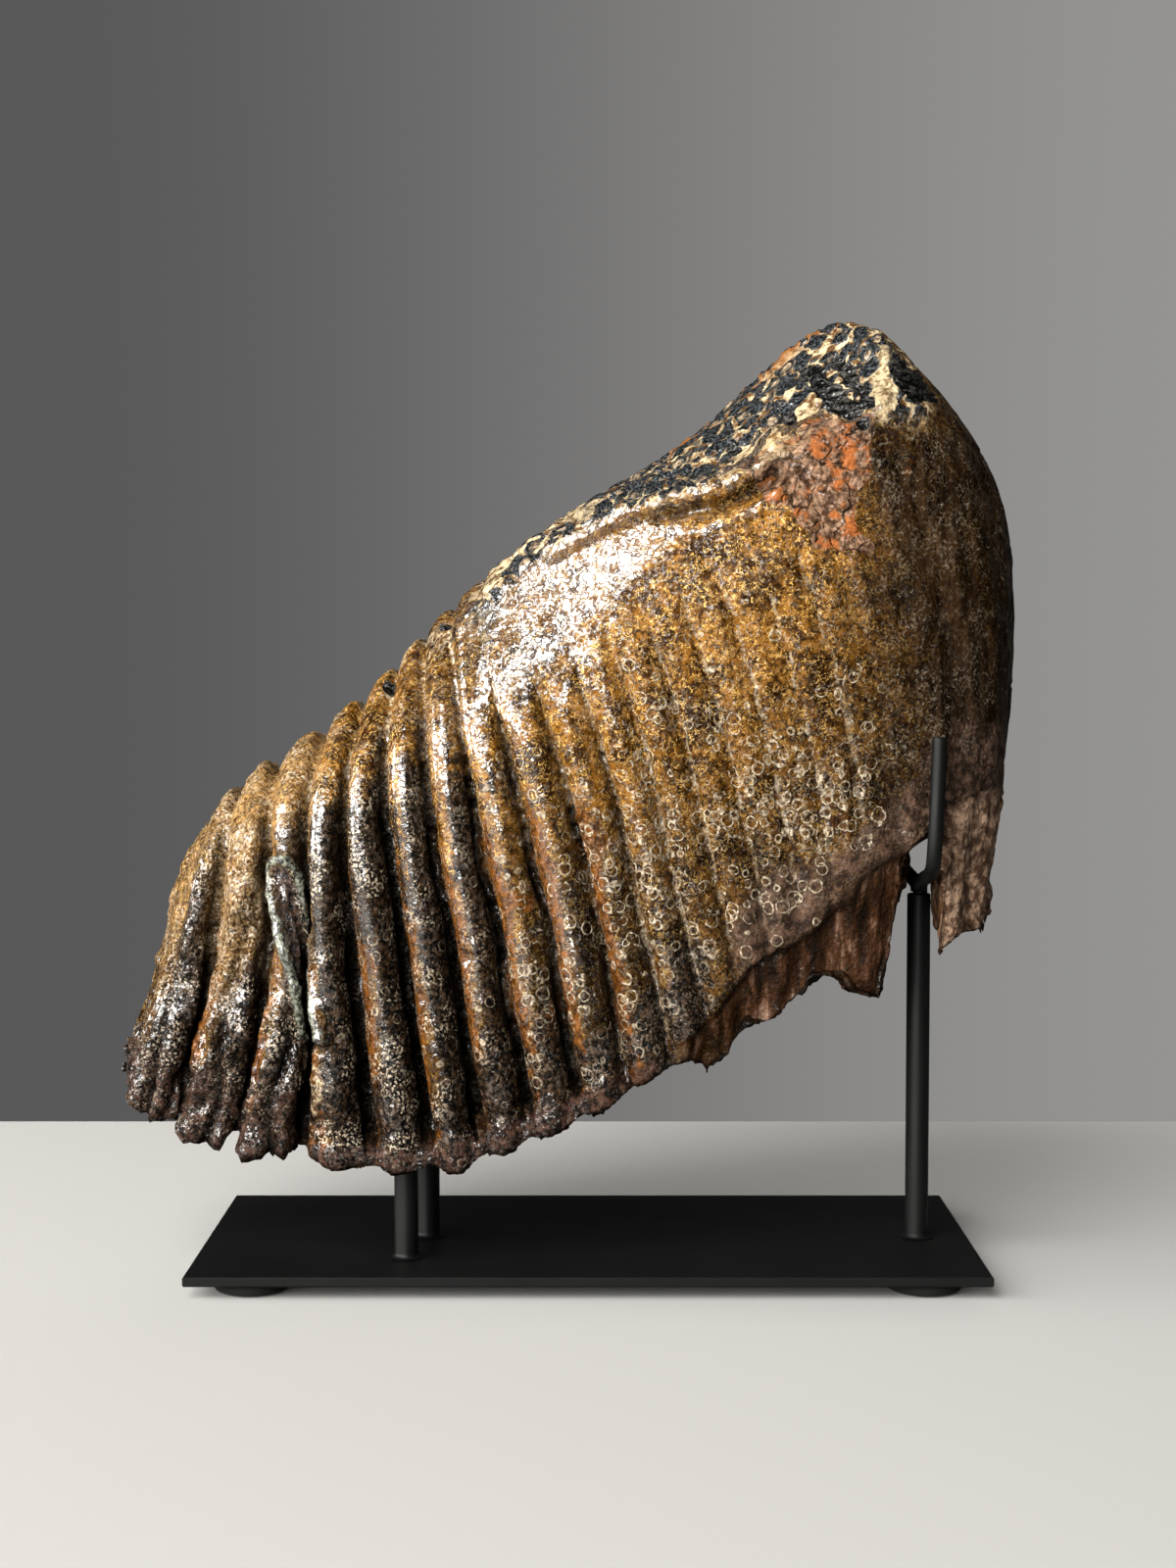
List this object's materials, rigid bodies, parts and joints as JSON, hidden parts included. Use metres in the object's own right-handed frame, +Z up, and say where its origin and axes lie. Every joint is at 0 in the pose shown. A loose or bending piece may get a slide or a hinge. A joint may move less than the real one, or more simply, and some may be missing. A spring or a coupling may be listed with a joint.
{
  "type": "fossil mammoth tooth",
  "caption": "Fossil mammoth molar with ridged plates, a worn chewing face and broken roots, held on a black steel stand with a flat base, short posts and a forked post.",
  "frame": {"origin": "on the surface that the pads stand on, under the middle of the object's bounding box", "axes": "+Z up; +X along the tooth towards its tall, worn end with the roots; +Y from the front side of the tooth to its rear side, across the base plate"},
  "size_m": [0.2465, 0.094, 0.2594],
  "materials": {
    "fossil_tooth": "varnished mineralised enamel, dentine and cementum, mottled ochre, dark brown and blue-black with pale rings",
    "black_steel": "satin black over steel, rubbed a little at the edges",
    "black_felt": "matte felt"
  },
  "bodies": {
    "root": {"tooth": "fossil_tooth", "base_plate": "black_steel", "front_left_post": "black_steel", "rear_left_post": "black_steel", "right_post": "black_steel", "front_tine": "black_steel", "rear_tine": "black_steel", "front_left_pad": "black_felt", "front_right_pad": "black_felt", "rear_left_pad": "black_felt", "rear_right_pad": "black_felt"}
  },
  "joints": []
}
